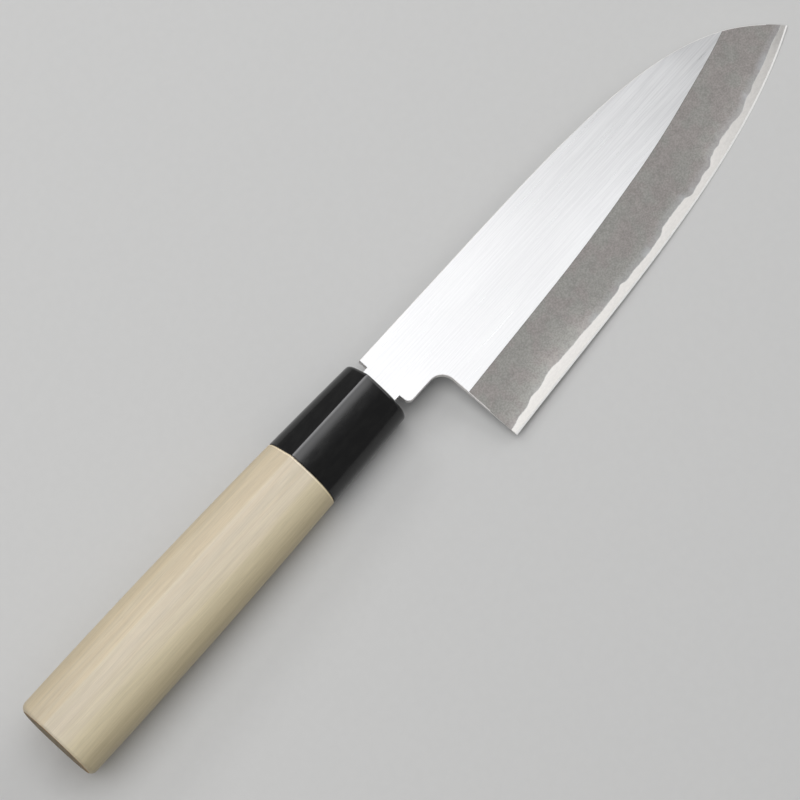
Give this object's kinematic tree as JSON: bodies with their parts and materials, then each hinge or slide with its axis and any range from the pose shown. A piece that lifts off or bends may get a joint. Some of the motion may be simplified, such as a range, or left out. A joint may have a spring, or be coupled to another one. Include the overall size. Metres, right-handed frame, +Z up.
{
  "type": "kitchen knife",
  "caption": "Bunka-type kitchen knife: a laminated steel blade with wide ground bevels and a wavy core line, a glossy black ferrule and a pale wooden handle of chestnut section.",
  "frame": {"origin": "middle of the bounding box at the surface on which the knife lies", "axes": "+X along the knife from the butt to the tip, +Y across it from the cutting edge to the spine, +Z up, out of the blade's right face; the knife lies on its left side"},
  "size_m": [0.2956, 0.0508, 0.0242],
  "materials": {
    "core_steel": "bright hard core steel, finely ground and polished",
    "cladding_steel": "flats brushed lengthwise, wide bevels matte with a fine sandy grain",
    "ferrule_plastic": "glossy black",
    "handle_wood": "bare fine-sanded pale wood with lengthwise grain",
    "seal_resin": "dull black resin"
  },
  "bodies": {
    "root": {"core_steel": "core_steel", "cladding_right": "cladding_steel", "cladding_left": "cladding_steel", "ferrule": "ferrule_plastic", "handle": "handle_wood", "tang_seal": "seal_resin"}
  },
  "joints": []
}
